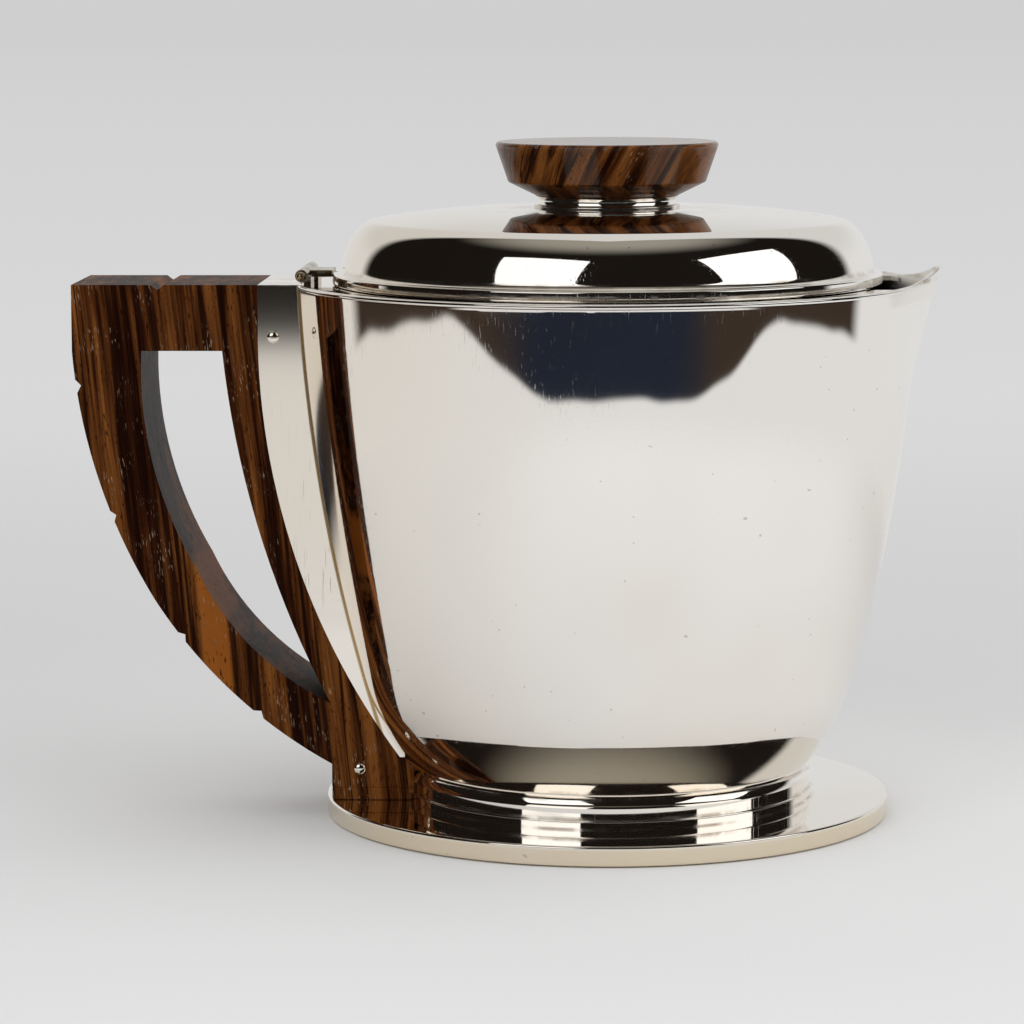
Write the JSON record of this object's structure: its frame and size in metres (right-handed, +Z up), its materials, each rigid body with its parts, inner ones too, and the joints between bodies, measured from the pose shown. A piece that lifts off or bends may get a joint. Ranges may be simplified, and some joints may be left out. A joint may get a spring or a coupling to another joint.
{
  "type": "teapot",
  "caption": "Flared polished-metal teapot on a disc foot, with a hinged domed lid, a dark wood slab handle in a tapered socket, a wood knob and a short pouring lip.",
  "frame": {"origin": "middle of the foot's flat underside, on the pot's axis", "axes": "+Z up along the pot's axis, +X towards the pouring lip, handle towards -X"},
  "size_m": [0.1909, 0.1384, 0.1495],
  "materials": {
    "silver": "polished silver",
    "wood": "oiled and polished dark rosewood-like wood",
    "brass": "plain turned"
  },
  "bodies": {
    "pot": {"foot_edge_band": "silver", "foot_plate": "silver", "foot_base_disc": "silver", "stem_ring_lower": "silver", "stem_ring_upper": "silver", "body_shell": "silver", "pouring_lip": "silver", "lid_seat": "silver", "rim_wire": "silver", "handle_grip": "wood", "handle_foot_pad": "wood", "handle_socket": "silver", "handle_tang": "silver", "socket_rivet": "silver", "tang_rivet": "silver", "hinge_knuckles": "silver", "hinge_pin": "silver"},
    "lid": {"lid_hinge_leaf": "silver", "lid_flange": "silver", "lid_shell": "silver", "lid_bezel": "silver", "knob_washer": "silver", "knob_collar": "silver", "knob": "wood", "knob_stud": "brass", "knob_nut": "brass"}
  },
  "joints": [
    {"name": "lid_hinge", "type": "hinge", "parent": "pot", "child": "lid", "pos_m": [-0.0667, 0, 0.1206], "axis": [0, -1, 0], "range_deg": [0, 100]}
  ]
}
